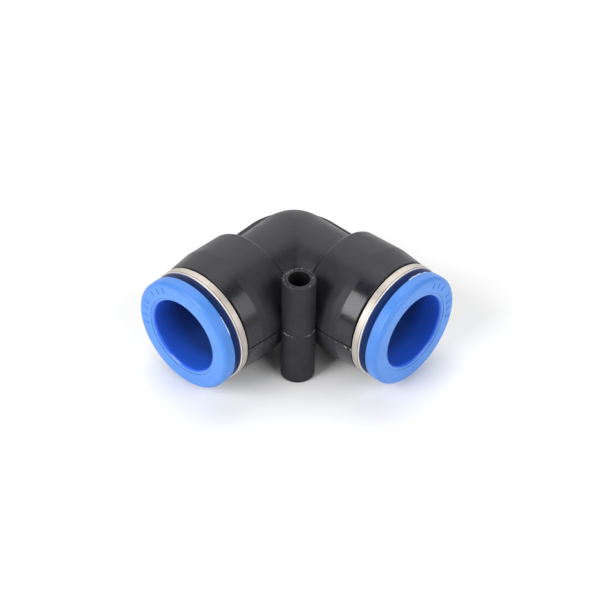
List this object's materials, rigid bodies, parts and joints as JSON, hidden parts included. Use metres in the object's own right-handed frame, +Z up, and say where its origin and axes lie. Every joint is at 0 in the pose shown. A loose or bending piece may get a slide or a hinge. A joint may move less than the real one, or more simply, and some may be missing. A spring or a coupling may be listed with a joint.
{
  "type": "push-to-connect elbow fitting",
  "caption": "Right-angle push-to-connect tube fitting with a release sleeve and a metal guide ring at each port, and a mounting tube in the inner corner.",
  "frame": {"origin": "middle of the mounting hole, in the plane of the two port axes; each port axis passes 15 mm from it", "axes": "+X leaves the right port, -Y leaves the left port, +Z runs up along the mounting hole"},
  "size_m": [0.0467, 0.0467, 0.026],
  "materials": {
    "black_pbt": "injection moulded, satin black, glossier where the mould was polished",
    "blue_pom": "injection moulded acetal, light blue, slightly translucent",
    "nickel_plate": "turned brass with warm nickel plating",
    "spring_steel": "stamped stainless spring steel",
    "natural_pom": "natural white acetal",
    "nbr_rubber": "black nitrile rubber, lightly greased"
  },
  "bodies": {
    "fitting_body": {"body": "black_pbt", "guide_ring_right": "nickel_plate", "back_ring_right": "natural_pom", "seal_right": "nbr_rubber", "guide_ring_left": "nickel_plate", "back_ring_left": "natural_pom", "seal_left": "nbr_rubber"},
    "claw_right": {"lock_claw_right": "spring_steel"},
    "sleeve_right": {"release_sleeve_right": "blue_pom"},
    "claw_left": {"lock_claw_left": "spring_steel"},
    "sleeve_left": {"release_sleeve_left": "blue_pom"}
  },
  "joints": [
    {"name": "tube_spin_right", "type": "hinge", "parent": "fitting_body", "child": "claw_right", "pos_m": [0.0048, 0.015, 0], "axis": [1, 0, 0], "continuous": true},
    {"name": "release_right", "type": "slide", "parent": "claw_right", "child": "sleeve_right", "axis": [-1, 0, 0], "range_m": [0, 0.0016], "stiffness_N_per_m": 6000, "deforming": ["lock_claw_right"]},
    {"name": "tube_spin_left", "type": "hinge", "parent": "fitting_body", "child": "claw_left", "pos_m": [-0.015, -0.0048, 0], "axis": [0, -1, 0], "continuous": true},
    {"name": "release_left", "type": "slide", "parent": "claw_left", "child": "sleeve_left", "axis": [0, 1, 0], "range_m": [0, 0.0016], "stiffness_N_per_m": 6000, "deforming": ["lock_claw_left"]}
  ]
}
